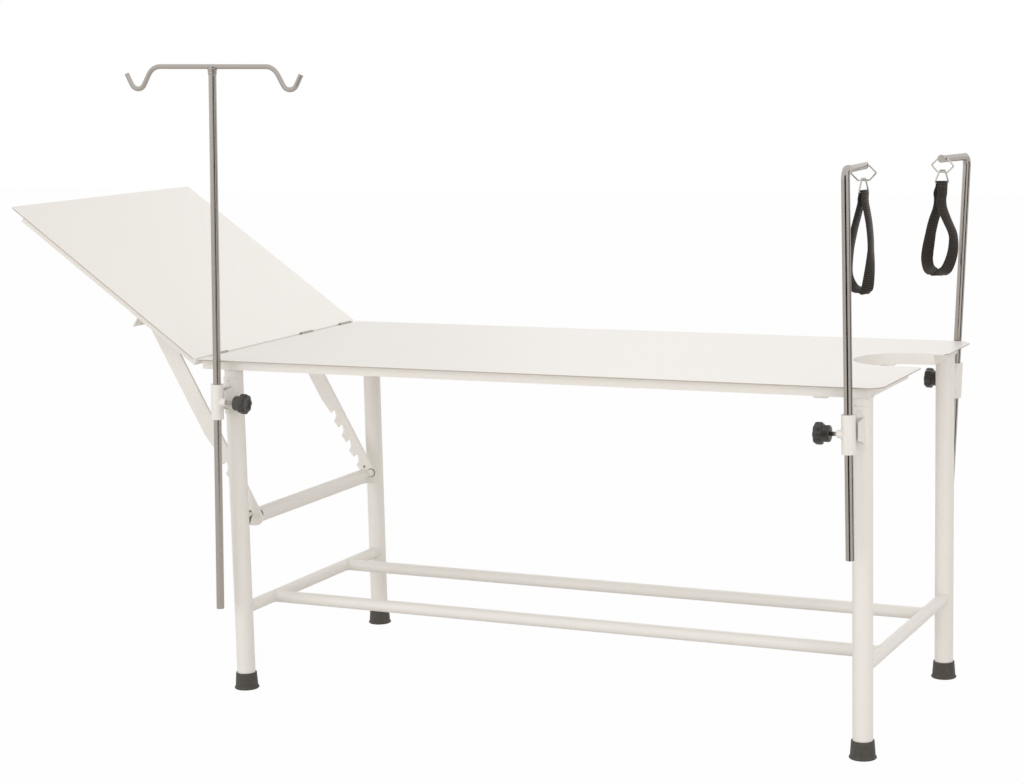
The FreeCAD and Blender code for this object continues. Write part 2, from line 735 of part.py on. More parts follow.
def make_strap(bar_centre, bar, loop_width):
    """Closed webbing loop hanging from the dee's bottom bar, with its two plies stitched above."""
    spread = bar.cross(Z)
    fold = link_wire + play
    ply = strap_thickness
    half = loop_width / 2

    def at(s, z):
        return bar_centre + spread * s + Z * z - bar * (strap_width / 2)

    def loop(grow):
        """Teardrop of four arcs, grown outwards for the outer face."""
        neck = -strap_stitched
        apex = at(0, neck + 2 * grow)
        low = at(0, neck - strap_drop - grow)
        edges = []
        for sign in (-1, 1):
            flank = at(sign * (half * 0.56 + grow * 0.9), neck - strap_drop * 0.27 + grow * 0.4)
            widest = at(sign * (half + grow), neck - strap_drop * 0.66)
            heel = at(sign * (half * 0.72 + grow * 0.7), neck - strap_drop * 0.905 - grow * 0.7)
            side = [(apex, flank, widest), (widest, heel, low)]
            edges.extend(side if sign > 0 else [(c, b, a) for a, b, c in reversed(side)])
        ordered = edges[2:] + edges[:2]
        return Part.Face(Part.Wire([Part.Arc(*e).toShape() for e in ordered])).extrude(
            bar * strap_width)
    body = loop(ply).cut(loop(0))
    outer = fold + ply
    tab = prism([at(-ply, -strap_stitched), at(ply, -strap_stitched), at(ply, -fold),
                 at(-ply, -fold)], bar * strap_width)
    sleeve = Part.makeCylinder(outer, strap_width, at(0, 0), bar)
    bore = Part.makeCylinder(fold, strap_width, at(0, 0), bar)
    return body.fuse([tab, sleeve]).cut(bore).removeSplitter()


def overall_x():
    """Lowest and highest X of the whole table, before the origin is moved."""
    low = min(lifted_point(back_end, z)[0] for z in (rail_top, table_height))
    return low, sheet_foot


def build():
    make_legs()
    make_stretchers()
    make_top_frame()
    make_top_sheet()
    make_back_section()
    make_hinges()
    make_racks()
    make_rack_mounts()
    drip_base = make_socket("drip", "head", "near", drip_socket, drip_lean, 1,
                            drip_knob_start)
    near_base = make_socket("near", "foot", "near", near_foot_socket, near_litho_lean, -1,
                            knob_start)
    far_base = make_socket("far", "foot", "far", far_foot_socket, far_litho_lean, -1,
                           knob_start)
    add("bracket_screws", *bracket_screws)
    make_drip_pole(drip_base)
    make_litho("near", near_base, near_litho_top, near_litho_lean, near_swivel, near_loop_width)
    make_litho("far", far_base, far_litho_top, far_litho_lean, far_swivel, far_loop_width)
    low, high = overall_x()
    shift = X * (-(low + high) / 2)
    os.makedirs("parts", exist_ok=True)
    for name, shape in parts.items():
        shape.translate(shift)
        shape.exportStep("parts/%s.step" % name)
    report(shift, drip_base, near_base, far_base)


def report(shift, drip_base, near_base, far_base):
    """Print the joint places that a user of the parts needs."""
    spots = {"back hinge": vec(hinge_x, 0, hinge_z), "rack pivot": vec(pivot_x, 0, pivot_z),
             "drip sleeve": drip_base, "near sleeve": near_base, "far sleeve": far_base}
    for name, spot in spots.items():
        place = spot + shift
        print("%-12s %9.3f %9.3f %9.3f" % (name, place.x, place.y, place.z))


build()
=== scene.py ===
# Gynaecological examination table: powder-coated steel tube and sheet, stainless poles,
# moulded clamp knobs, rubber feet and woven foot straps. Metres, +X to the foot end, +Z up.
import json
import math

import bpy
from mathutils import Matrix, Vector, noise


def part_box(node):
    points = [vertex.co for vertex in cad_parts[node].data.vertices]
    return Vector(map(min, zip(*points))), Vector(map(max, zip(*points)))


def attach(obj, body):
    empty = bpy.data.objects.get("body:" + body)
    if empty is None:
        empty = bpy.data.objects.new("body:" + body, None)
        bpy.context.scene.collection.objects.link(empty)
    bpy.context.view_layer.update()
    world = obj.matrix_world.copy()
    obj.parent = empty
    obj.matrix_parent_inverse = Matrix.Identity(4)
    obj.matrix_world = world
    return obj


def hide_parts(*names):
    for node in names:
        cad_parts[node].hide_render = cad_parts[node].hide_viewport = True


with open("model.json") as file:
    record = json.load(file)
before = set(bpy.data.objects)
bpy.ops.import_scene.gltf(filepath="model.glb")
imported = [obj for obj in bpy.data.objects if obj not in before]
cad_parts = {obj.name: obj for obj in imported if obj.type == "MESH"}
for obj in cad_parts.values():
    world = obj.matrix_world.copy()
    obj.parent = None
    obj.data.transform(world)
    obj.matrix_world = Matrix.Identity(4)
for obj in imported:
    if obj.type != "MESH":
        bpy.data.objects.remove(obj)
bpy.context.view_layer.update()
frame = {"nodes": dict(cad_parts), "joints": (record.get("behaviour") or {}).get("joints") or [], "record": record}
nodes = frame["nodes"]
joints = {joint["name"]: joint for joint in frame["joints"]}
up = Vector((0, 0, 1))
mm = 0.001
hingeX = joints["back_hinge"]["pos_m"][0]
backLift = 35       # degrees that the back section is raised at rest
print("frame loaded:", len(nodes), "nodes")


# Small helpers

def linear(hexColour):
    channels = [int(hexColour[i:i + 2], 16) / 255 for i in (1, 3, 5)]
    return [c / 12.92 if c <= 0.04045 else ((c + 0.055) / 1.055) ** 2.4 for c in channels] + [1.0]


def addNode(tree, kind, settings=None, inputs=None):
    # one node with its settings; an input that is a socket is linked, any other is set
    node = tree.nodes.new(kind)
    for key, value in (settings or {}).items():
        setattr(node, key, value)
    for socket, value in (inputs or {}).items():
        if isinstance(value, bpy.types.NodeSocket):
            tree.links.new(value, node.inputs[socket])
        else:
            node.inputs[socket].default_value = value
    return node


def startMaterial(name, **sockets):
    material = bpy.data.materials.new(name)
    material.use_nodes = True
    tree = material.node_tree
    shader = tree.nodes["Principled BSDF"]
    for socket, value in sockets.items():
        shader.inputs[socket.replace("_", " ")].default_value = value
    return material, tree, shader


def meshPiece(name, points, faces, material, body, smooth=True, uvs=None):
    mesh = bpy.data.meshes.new(name)
    mesh.from_pydata([tuple(p) for p in points], [], faces)
    mesh.validate()
    if uvs:
        layer = mesh.uv_layers.new(name="UVMap")
        for loop in mesh.loops:
            layer.data[loop.index].uv = uvs[loop.vertex_index]
    mesh.polygons.foreach_set("use_smooth", [smooth] * len(mesh.polygons))
    mesh.materials.append(material)
    piece = bpy.data.objects.new(name, mesh)
    bpy.context.scene.collection.objects.link(piece)
    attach(piece, body)
    return piece


def turnedPiece(name, profile, place, axis, material, body, steps=48, lobes=None):
    # profile is (radius, height) along axis; lobes(row, angle) scales the radius
    turn = axis.to_track_quat("Z", "Y").to_matrix()
    points, faces = [], []
    for row, (radius, height) in enumerate(profile):
        for step in range(steps):
            angle = 2 * math.pi * step / steps
            reach = radius * (lobes(row, angle) if lobes else 1.0)
            spot = Vector((reach * math.cos(angle), reach * math.sin(angle), height))
            points.append(place + turn @ spot)
    for row in range(len(profile) - 1):
        for step in range(steps):
            after = (step + 1) % steps
            faces.append((row * steps + step, row * steps + after,
                          (row + 1) * steps + after, (row + 1) * steps + step))
    return meshPiece(name, points, faces, material, body)


def beadPiece(name, ring, radius, material, body):
    # round weld bead along a closed ring of points, a little uneven as one laid by hand
    rows, sides = len(ring), weld["sides"]
    places, faces = [], []
    side = None
    for i, point in enumerate(ring):
        along = (ring[(i + 1) % rows] - ring[i - 1]).normalized()
        side = along.orthogonal() if side is None else side - along * side.dot(along)
        side.normalize()
        other = along.cross(side)
        lumps = noise.noise(point * weld["lumps"]) + weld["beatShare"] * math.sin(i * weld["beat"])
        thick = radius * (1 + weld["wobble"] * lumps)
        for step in range(sides):
            angle = 2 * math.pi * step / sides
            places.append(point + side * thick * math.cos(angle) + other * thick * math.sin(angle))
    for i in range(rows):
        j = (i + 1) % rows
        # the last row is matched to the first by its nearest point, so the bead has no twist
        skip = 0
        if j == 0:
            skip = min(range(sides), key=lambda k: (places[k] - places[i * sides]).length)
        for step in range(sides):
            after = (step + 1) % sides
            faces.append((i * sides + step, i * sides + after,
                          j * sides + (after + skip) % sides, j * sides + (step + skip) % sides))
    return meshPiece(name, places, faces, material, body)


# Materials

powderCoat = {
    "colour": "#F0EEEA",
    "roughness": 0.40,
    "orangePeel": 1.6 * mm,     # size of the ripples that baked powder leaves
    "ripple": 0.012,
}


def makePowderCoat():
    # baked polyester powder on steel: warm off-white, satin, with a faint orange-peel ripple
    material, tree, shader = startMaterial(
        "Powder-coated steel, warm white", Base_Color=linear(powderCoat["colour"]),
        Roughness=powderCoat["roughness"], IOR=1.5)
    place = addNode(tree, "ShaderNodeTexCoord")
    peel = addNode(tree, "ShaderNodeTexNoise", inputs={
        "Vector": place.outputs["Object"], "Scale": 1 / powderCoat["orangePeel"], "Detail": 1.0})
    bump = addNode(tree, "ShaderNodeBump", inputs={
        "Strength": powderCoat["ripple"], "Distance": 0.0002, "Height": peel.outputs["Fac"]})
    tree.links.new(bump.outputs["Normal"], shader.inputs["Normal"])
    return material


poleSteel = {
    "colour": "#B5AFA9",
    "roughness": 0.15, "smoothest": 0.7, "roughest": 1.6,
    "drawLine": 0.9 * mm,       # real draw lines are finer; as coarse as the render can show
    "lineLength": 140 * mm,
}


def makePoleSteel(name, along):
    # cold-drawn stainless bar, polished along its length: long bright and dark streaks
    material, tree, shader = startMaterial(
        name, Base_Color=linear(poleSteel["colour"]), Metallic=1.0, Roughness=poleSteel["roughness"])
    place = addNode(tree, "ShaderNodeTexCoord")
    fine, coarse = 1 / poleSteel["drawLine"], 1 / poleSteel["lineLength"]
    scales = tuple(coarse if axis == along else fine for axis in "XYZ")
    stretch = addNode(tree, "ShaderNodeMapping", inputs={
        "Vector": place.outputs["Object"], "Scale": scales})
    lines = addNode(tree, "ShaderNodeTexNoise", inputs={
        "Vector": stretch.outputs["Vector"], "Scale": 1.0, "Detail": 2.0})
    shine = addNode(tree, "ShaderNodeMapRange", inputs={
        "Value": lines.outputs["Fac"], "From Min": 0.3, "From Max": 0.7,
        "To Min": poleSteel["roughness"] * poleSteel["smoothest"],
        "To Max": poleSteel["roughness"] * poleSteel["roughest"]})
    tree.links.new(shine.outputs["Result"], shader.inputs["Roughness"])
    return material


def makePlain(name, colour, roughness, metallic=0.0, **more):
    material, _, _ = startMaterial(name, Base_Color=linear(colour), Roughness=roughness,
                                   Metallic=metallic, **more)
    return material


grainedPlastic = {"colour": "#322F2D", "roughness": 0.33, "grain": 0.7 * mm, "relief": 0.15}


def makeKnobPlastic():
    # moulded phenolic: near black, slightly grained, with soft highlights on the lobes
    material, tree, shader = startMaterial(
        "Phenolic, moulded and grained", Base_Color=linear(grainedPlastic["colour"]),
        Roughness=grainedPlastic["roughness"], IOR=1.6)
    place = addNode(tree, "ShaderNodeTexCoord")
    grain = addNode(tree, "ShaderNodeTexNoise", inputs={
        "Vector": place.outputs["Object"], "Scale": 1 / grainedPlastic["grain"], "Detail": 2.0})
    bump = addNode(tree, "ShaderNodeBump", inputs={
        "Strength": grainedPlastic["relief"], "Distance": 0.0002, "Height": grain.outputs["Fac"]})
    tree.links.new(bump.outputs["Normal"], shader.inputs["Normal"])
    return material


footRubber = {"colour": "#3D3B39", "roughness": 0.62, "dust": "#57534E", "dustPatch": 9 * mm}


def makeFootRubber():
    # moulded rubber: matt dark grey, a little paler where dust has settled
    material, tree, shader = startMaterial(
        "Rubber, moulded", Base_Color=linear(footRubber["colour"]),
        Roughness=footRubber["roughness"], IOR=1.52)
    place = addNode(tree, "ShaderNodeTexCoord")
    patches = addNode(tree, "ShaderNodeTexNoise", inputs={
        "Vector": place.outputs["Object"], "Scale": 1 / footRubber["dustPatch"], "Detail": 4.0})
    tint = addNode(tree, "ShaderNodeMix", {"data_type": "RGBA"}, {
        "Factor": patches.outputs["Fac"],
        6: linear(footRubber["colour"]), 7: linear(footRubber["dust"])})
    tree.links.new(tint.outputs[2], shader.inputs["Base Color"])
    return material


webbing = {
    "dark": "#1B1816",
    "light": "#473F38",
    "roughness": 0.82,
    "rib": 4.2 * mm,            # across the band, and coarser than life so that a pixel shows them
    "thread": 1.0 * mm,
    "waveUnit": 0.314,          # the wave texture repeats every 0.314 at scale 1
    "relief": 0.7,
    "width": 24 * mm,
    "thickness": 2.2 * mm,
    "edge": 0.5 * mm,           # the flat faces end this far from the selvedge
}


def makeWebbing():
    # woven polypropylene webbing: dark brown-grey, ribbed across; the rib tops are painted paler and the grooves
    # darker, painted light and shade on the ribs
    material, tree, shader = startMaterial(
        "Polypropylene webbing, woven", Base_Color=linear(webbing["dark"]),
        Roughness=webbing["roughness"], IOR=1.49, Sheen_Weight=0.25, Sheen_Roughness=0.4)
    place = addNode(tree, "ShaderNodeUVMap", {"uv_map": "UVMap"})
    ribs = addNode(tree, "ShaderNodeTexWave", {"bands_direction": "X"}, {
        "Vector": place.outputs["UV"], "Scale": webbing["waveUnit"] / webbing["rib"],
        "Distortion": 0.6})
    threads = addNode(tree, "ShaderNodeTexWave", {"bands_direction": "Y"}, {
        "Vector": place.outputs["UV"], "Scale": webbing["waveUnit"] / webbing["thread"],
        "Distortion": 0.3})
    weave = addNode(tree, "ShaderNodeMath", {"operation": "MULTIPLY_ADD"}, {
        0: threads.outputs["Fac"], 1: 0.2, 2: ribs.outputs["Fac"]})
    tone = addNode(tree, "ShaderNodeMapRange", inputs={
        "Value": weave.outputs["Value"], "From Min": 0.2, "From Max": 1.3})
    # paler on the rib tops and darker between them: a painted highlight and painted shade that follow the ribs
    tint = addNode(tree, "ShaderNodeMix", {"data_type": "RGBA"}, {
        "Factor": tone.outputs["Result"],
        6: linear(webbing["dark"]), 7: linear(webbing["light"])})
    bump = addNode(tree, "ShaderNodeBump", inputs={
        "Strength": webbing["relief"], "Distance": 0.0005, "Height": weave.outputs["Value"]})
    tree.links.new(tint.outputs[2], shader.inputs["Base Color"])
    tree.links.new(bump.outputs["Normal"], shader.inputs["Normal"])
    return material


finishes = {
    "powder_coat": makePowderCoat(),
    "polished_steel": makePoleSteel("Stainless steel bar, drawn and polished", "Z"),
    # bright nickel plate over bent wire: a clean mirror with thin dark edges
    "wire_steel": makePlain("Steel wire, nickel plated", "#D2CEC9", 0.2, 1.0),
    # zinc plate: duller and a little bluer than the poles
    "zinc_fasteners": makePlain("Steel, zinc plated", "#B3AEA8", 0.36, 1.0),
    "knob_plastic": makeKnobPlastic(),
    "rubber": makeFootRubber(),
    "webbing": makeWebbing(),
}
# nylon sewing thread: a shade paler than the webbing
sewingThread = makePlain("Nylon thread, twisted", "#6A625A", 0.6)
# sheet edge: coloured darker, the shade under the sheet's overhang painted in as a thin dark line
sheetEdgeShade = makePlain("Sheet edge, painted dark as shade", "#B9AFA6", 0.5)
# the rolled edges beside the hinge gap, coloured brighter than the rest of the coat: a painted highlight along the
# gap
hemHighlightCoat = makePlain("Powder coat, painted bright as a highlight on a rolled edge", "#FBFAF8", 0.3)
# spring washers and drilled holes: steel coloured dark, painted shade for the gap round each bolt head and for the
# inside of each hole
shadeDarkSteel = makePlain("Steel, painted dark as shade", "#5E544C", 0.7)
# weld on bare stainless steel, coloured brown-grey: painted shade in the joint under the hook bar
jointShadeTint = makePlain("Stainless weld, painted dark as joint shade", "#6A625C", 0.45, 0.8)
# bright steel bent crosswise carries its draw lines along the bar
barSteel = makePoleSteel("Stainless steel bar, bent crosswise", "X")
# the hinges stay bare zinc, coloured duller and browner than the other zinc: painted shade on the knuckles in the
# gap
hingeZincShaded = makePlain("Steel hinge, zinc painted darker as shade", "#A59D94", 0.5, 0.6)

# these were coated together with the frame
paintedFasteners = {"bracket_screws", "rack_pivot_bolts", "rack_end_bolts"}
for part in frame["record"]["subparts"]:
    name = part["node"]
    finish = finishes[part["material_slot"]]
    if name in paintedFasteners:
        finish = finishes["powder_coat"]
    node = nodes[name]
    node.data.materials.clear()
    node.data.materials.append(finish)
    node.data.polygons.foreach_set("material_index", [0] * len(node.data.polygons))


def faceFinish(node, finish, wanted):
    # gives the faces of a part that pass the test a second finish
    mesh = nodes[node].data
    mesh.materials.append(finish)
    turn = nodes[node].matrix_world
    for face in mesh.polygons:
        if wanted(turn @ face.center, (turn.to_3x3() @ face.normal).normalized()):
            face.material_index = 1


# sheet edges that get the painted shade line: not those of the cutout, which are closed by its rim, nor those at
# the hinges, which are rolled
sheetEdges = {"hingeClear": 20 * mm, "cutoutOffset": 40 * mm, "cutoutHalf": 94 * mm}


def topEdgeShadeMask(place, way):
    clearOfCutout = abs(place.y - sheetEdges["cutoutOffset"]) > sheetEdges["cutoutHalf"]
    return abs(way.z) < 0.5 and place.x > hingeX + sheetEdges["hingeClear"] and clearOfCutout


def backEdgeShadeMask(place, way):
    lift = math.radians(backLift)
    sheetNormal = Vector((math.sin(lift), 0, math.cos(lift)))
    return abs(way.y) > 0.5 or way.x < -0.7 and abs(way.dot(sheetNormal)) < 0.3


def nodeMiddle(node):
    low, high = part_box(node)
    return (Vector(low) + Vector(high)) / 2, Vector(high) - Vector(low)


faceFinish("fixed_top_sheet", sheetEdgeShade, topEdgeShadeMask)
faceFinish("back_sheet", sheetEdgeShade, backEdgeShadeMask)
for name, finish in (("drip_hook_bar", barSteel), ("hinge_fixed_knuckles", hingeZincShaded),
                     ("hinge_moving_knuckles", hingeZincShaded), ("hinge_pins", hingeZincShaded)):
    nodes[name].data.materials[0] = finish
print("finishes set")


# Clamp knobs: lobed heads on round hubs, moulded over a zinc-plated stud

knob = {
    "stud": 4 * mm, "studStart": 8.6 * mm,
    "start": {"drip": 43 * mm, "near": 34 * mm, "far": 34 * mm},
    "hub": 15.4 * mm, "hubLength": 13 * mm,
    "star": 20.8 * mm, "starLength": 16 * mm, "lobes": 8, "lobeDepth": 0.13,
    "starRows": range(6, 13),       # rows of the outline that the lobes shape
    "dish": 9.4 * mm, "dishDepth": 1.6 * mm,
}


def knobLobes(row, angle):
    if row not in knob["starRows"]:
        return 1.0
    wave = 0.5 + 0.5 * math.cos(knob["lobes"] * angle)
    return 1.0 - knob["lobeDepth"] * (1.0 - wave ** 0.45)


def knobOutline():
    # hub with rounded edges, then the flared and domed star with a shallow dish in its face
    hub, star, low = knob["hub"], knob["star"], knob["hubLength"]
    high = low + knob["starLength"]
    dish, floor = knob["dish"], high - knob["dishDepth"]
    return [(0.0001, 0.0), (hub * 0.62, 0.0), (hub * 0.95, 0.4 * mm), (hub, 1.6 * mm),
            (hub, low - 0.8 * mm), (hub + 0.6 * mm, low),
            (star * 0.86, low + 0.2 * mm), (star * 0.96, low + 1.2 * mm), (star, low + 3.4 * mm),
            (star, high - 4.2 * mm), (star * 0.96, high - 1.9 * mm), (star * 0.87, high - 0.6 * mm),
            (star * 0.74, high - 0.1 * mm),
            (dish + 0.6 * mm, high), (dish - 0.4 * mm, floor), (0.0001, floor)]


def dressKnob(side):
    joint = joints["knob_turn_" + side]
    place, axis = Vector(joint["pos_m"]), Vector(joint["axis"]).normalized()
    body, node = "knob_" + side, "clamp_knob_" + side
    head = turnedPiece("knobHead_" + side, knobOutline(), place + axis * knob["start"][side], axis,
                       finishes["knob_plastic"], body, 96, knobLobes)
    radius, tip, root = knob["stud"], knob["studStart"], knob["start"][side] + 4 * mm
    shank = [(0.0001, tip), (radius - 0.6 * mm, tip), (radius, tip + 0.6 * mm), (radius, root),
             (0.0001, root)]
    stud = turnedPiece("knobStud_" + side, shank, place, axis, finishes["zinc_fasteners"], body, 32)
    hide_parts(node)


for side in ("drip", "near", "far"):
    dressKnob(side)
print("knobs made")


# Foot straps: a band folded over the dee, sewn to itself, then an open loop

strapShape = {
    "deeRise": 3.5 * mm, "deeDrop": 25 * mm, "wrap": 3.1 * mm, "drop": 180 * mm,
    "waver": 1.3 * mm, "waverFineness": 16,     # the band's middle line isn't quite true
    # one loop hangs askew, with more of it toward the pole; necks are in millimetres, and each
    # curve gives its share of the half width and its share of the way down the open loop
    "near": {
        "sewn": 20 * mm, "frontHalf": 13 * mm, "rearHalf": 36 * mm,
        "azimuth": 76, "skew": 6, "twist": 4, "frontTip": 40, "rearTip": -20,
        "frontNeck": (3.2, 2.8, 3.6), "rearNeck": (3.4, 5.0, 5.5),
        "frontCurve": ((0.52, 0.10), (0.80, 0.24), (1.00, 0.42), (1.00, 0.56), (0.84, 0.74),
                       (0.50, 0.93), (0.2, 1.0)),
        "rearCurve": ((0.32, 0.12), (0.58, 0.30), (0.82, 0.52), (1.00, 0.74), (0.96, 0.86),
                      (0.64, 0.965), (0.2, 1.0)),
    },
    # the other is opened wide
    "far": {
        "sewn": 34 * mm, "frontHalf": 40 * mm, "rearHalf": 50 * mm,
        "azimuth": 50, "skew": 11, "twist": 2, "frontTip": 34, "rearTip": -36,
        "frontNeck": (3.2, 3.4, 1.6), "rearNeck": (3.6, 9.0, 6.0),
        "frontCurve": ((0.14, 0.10), (0.46, 0.24), (0.90, 0.42), (1.00, 0.56), (0.94, 0.74),
                       (0.66, 0.93), (0.2, 1.0)),
        "rearCurve": ((0.18, 0.12), (0.46, 0.30), (0.76, 0.52), (0.98, 0.74), (0.96, 0.86),
                      (0.64, 0.965), (0.2, 1.0)),
    },
    "neckSteps": (0.22, 0.6, 1.0),
    # toward its lowest point the band rolls over to either side of a soft crease
    "tipFrom": 0.58, "tipOver": 0.36, "tipSide": 0.35, "crease": 5 * mm,
    "rowsPerKnot": 6,
}


def smoothChain(chain, rows):
    # closed curve through the knots, with the same number of rows between each two
    route = []
    count = len(chain)
    for i in range(count):
        p0, p1, p2, p3 = (Vector(chain[(i + k) % count]) for k in (-1, 0, 1, 2))
        for step in range(rows):
            t = step / rows
            route.append(0.5 * (2 * p1 + (p2 - p0) * t + (2 * p0 - 5 * p1 + 4 * p2 - p3) * t * t
                                + (3 * p1 - p0 - 3 * p2 + p3) * t ** 3))
    return route


def strapRoute(shape):
    # middle line of the band as (sideways, down) from the dee's bar
    sewn, wrap = shape["sewn"], strapShape["wrap"]
    drop = strapShape["drop"] - sewn
    sides = []
    for key, sign in (("front", 1), ("rear", -1)):
        half = shape[key + "Half"]
        neck = [(sign * width * mm, depth * sewn)
                for width, depth in zip(shape[key + "Neck"], strapShape["neckSteps"])]
        loop = [(sign * share * half, sewn + depth * drop) for share, depth in shape[key + "Curve"]]
        sides.append(neck + loop)
    corner = wrap * 0.7
    fold = [(-wrap, 0.0), (-corner, -corner), (0.0, -wrap), (corner, -corner), (wrap, 0.0)]
    lowest = [(0.0, sewn + drop + strapShape["crease"])]
    return smoothChain(fold + sides[0] + lowest + sides[1][::-1], strapShape["rowsPerKnot"])


def strapFrame(side):
    # centre of the dee's bar, and the way up along the pole
    joint = joints["strap_swing_" + side]
    above = Vector(joints["litho_slide_" + side]["axis"]).normalized()
    centre = Vector(joint["pos_m"]) + above * (strapShape["deeRise"] - strapShape["deeDrop"])
    return centre, above


def bandRow(side, centre, above, point, ahead):
    # corners of the band's section at one point of the route
    shape = strapShape[side]
    depth = max(point[1], 0.0) / strapShape["drop"]
    askew = shape["skew"] * point[0] / max(shape["frontHalf"], shape["rearHalf"])
    azimuth = math.radians(shape["azimuth"] + shape["twist"] * depth ** 0.8 + askew)
    bar = Vector((math.cos(azimuth), math.sin(azimuth), 0))
    bar = (bar - above * bar.dot(above)).normalized()
    spread = bar.cross(above)
    if spread.x < 0:
        spread = -spread
    middle = centre + spread * point[0] - above * point[1]
    stray = noise.noise(middle * strapShape["waverFineness"]) * min(1.0, depth * 5)
    middle += bar * strapShape["waver"] * stray
    normal = spread * ahead[1] + above * ahead[0]
    key = "front" if point[0] > 0 else "rear"
    tip = math.radians(shape[key + "Tip"])
    tip *= min(1.0, abs(point[0]) / (strapShape["tipSide"] * shape[key + "Half"]))
    tip *= min(1.0, max(0.0, depth - strapShape["tipFrom"]) / strapShape["tipOver"])
    bar, normal = (bar * math.cos(tip) + normal * math.sin(tip),
                   normal * math.cos(tip) - bar * math.sin(tip))
    half, ply = webbing["width"] / 2, webbing["thickness"] / 2
    inner = half - webbing["edge"]
    section = [(-half, 0), (-inner, ply), (0, ply), (inner, ply), (half, 0),
               (inner, -ply), (0, -ply), (-inner, -ply)]
    corners = [middle + bar * across + normal * out for across, out in section]
    return corners, section, bar, normal, middle


def dressStrap(side):
    body, node = "strap_" + side, "foot_strap_" + side
    centre, above = strapFrame(side)
    route = strapRoute(strapShape[side])
    points, uvs, faces = [], [], []
    length, rows, count = 0.0, len(route), 8
    for i, point in enumerate(route):
        ahead = (route[(i + 1) % rows] - route[i - 1]).normalized()
        corners, section, _, _, _ = bandRow(side, centre, above, point, ahead)
        points += corners
        uvs += [(length, across) for across, _ in section]
        length += (route[(i + 1) % rows] - point).length
    for i in range(rows):
        j = (i + 1) % rows
        for k in range(count):
            after = (k + 1) % count
            faces.append((i * count + k, i * count + after, j * count + after, j * count + k))
    band = meshPiece("strapBand_" + side, points, faces, finishes["webbing"], body, True, uvs)
    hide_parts(node)
    sewStrap(side, body, centre, above, route)


# short stitches in pairs across the band, drawn as small ridged bars
stitch = {
    "count": 7, "pitch": 3.0 * mm, "pairShift": 1.6 * mm,
    "halfLength": 1.1 * mm, "halfWidth": 0.35 * mm, "rise": 0.35 * mm,
    "firstRow": 6 * mm, "lastRowInset": 3 * mm,
    "searchFrom": 3 * mm, "searchPast": 1 * mm,     # part of the route that is searched for a row
    "corners": ((-1, -1, 0), (1, -1, 0), (1, 1, 0), (-1, 1, 0), (-0.7, 0, 1), (0.7, 0, 1)),
    "faces": ((0, 1, 5, 4), (2, 3, 4, 5), (1, 2, 5), (3, 0, 4), (3, 2, 1, 0)),
}


def sewStrap(side, body, centre, above, route):
    # rows of stitches across both outer faces of the sewn part, in one mesh
    points, faces = [], []
    sewn = strapShape[side]["sewn"]
    rows = [(i, p) for i, p in enumerate(route)
            if stitch["searchFrom"] < p[1] < sewn + stitch["searchPast"]]
    for sign in (1, -1):
        own = [(i, p) for i, p in rows if p[0] * sign > 0]
        for depth in (stitch["firstRow"], sewn - stitch["lastRowInset"]):
            i, point = min(own, key=lambda item: abs(item[1][1] - depth))
            ahead = (route[(i + 1) % len(route)] - route[i - 1]).normalized()
            _, _, bar, normal, middle = bandRow(side, centre, above, point, ahead)
            along = bar.cross(normal).normalized()
            outward = normal if (normal.x * sign > 0) else -normal
            surface = middle + outward * (webbing["thickness"] / 2)
            for k in range(stitch["count"]):
                for shift in (-1, 1):
                    here = surface + bar * (k - (stitch["count"] - 1) / 2) * stitch["pitch"]
                    here += along * shift * stitch["pairShift"]
                    base = len(points)
                    points += [here + bar * a * stitch["halfLength"] + along * b * stitch["halfWidth"]
                               + outward * c * stitch["rise"] for a, b, c in stitch["corners"]]
                    faces += [tuple(base + corner for corner in face) for face in stitch["faces"]]
    stitches = meshPiece("strapStitches_" + side, points, faces, sewingThread, body)


for side in ("near", "far"):
    dressStrap(side)
print("foot straps made")


# Rubber feet: a flared cup with a rim at the sole and a soft lip round the leg

footShape = {
    "sole": 26 * mm, "flange": 4.4 * mm, "waist": 23.8 * mm,
    "lip": 21.6 * mm, "height": 35 * mm, "bore": 19.15 * mm,
}


def footOutline():
    sole, flange, waist = footShape["sole"], footShape["flange"], footShape["waist"]
    lip, high, bore = footShape["lip"], footShape["height"], footShape["bore"]
    return [(0.0001, 0.0), (sole - 3.2 * mm, 0.0), (sole - 1.3 * mm, 0.3 * mm),
            (sole - 0.2 * mm, 1.4 * mm), (sole, 2.4 * mm), (sole - 0.3 * mm, flange - 0.9 * mm),
            (sole - 1.2 * mm, flange), (waist + 0.5 * mm, flange + 0.5 * mm),
            (waist - 0.1 * mm, flange + 1.6 * mm), (waist - 0.2 * mm, flange + 4 * mm),
            (lip + 0.5 * mm, high - 6 * mm), (lip + 0.3 * mm, high - 2.4 * mm),
            (lip, high - 0.8 * mm), (lip - 0.7 * mm, high),
            (bore + 0.4 * mm, high - 0.1 * mm), (bore, high - 0.8 * mm), (bore, high - 2.5 * mm)]


def dressFoot(node):
    middle, _ = nodeMiddle(node)
    place = Vector((middle.x, middle.y, 0))
    cup = turnedPiece("cup_" + node, footOutline(), place, up, finishes["rubber"], "frame", 48)
    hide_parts(node)


for name in nodes:
    if name.startswith("rubber_foot_"):
        dressFoot(name)
print("rubber feet made")


# Weld beads, coated together with the tubes

weld = {
    "leg": 19 * mm, "radius": 1.5 * mm, "saddleRadius": 1.3 * mm, "thinRadius": 1.2 * mm,
    # how far a bead's middle line stands off its tube, and how far it lies in from the tube's end
    "legStandoff": 0.5 * mm, "saddleStandoff": 0.4 * mm, "thinStandoff": 0.3 * mm,
    "crossSlack": 0.1 * mm, "legInset": 0.9 * mm, "gripInset": 0.8 * mm,
    "steps": 56, "sides": 8,
    "wobble": 0.25, "lumps": 180, "beat": 1.7, "beatShare": 0.6,     # how uneven a bead is
}


def angles(count):
    return [2 * math.pi * step / count for step in range(count)]


def weldRing(name, ring, radius, body="frame"):
    bead = beadPiece(name, ring, radius, finishes["powder_coat"], body)


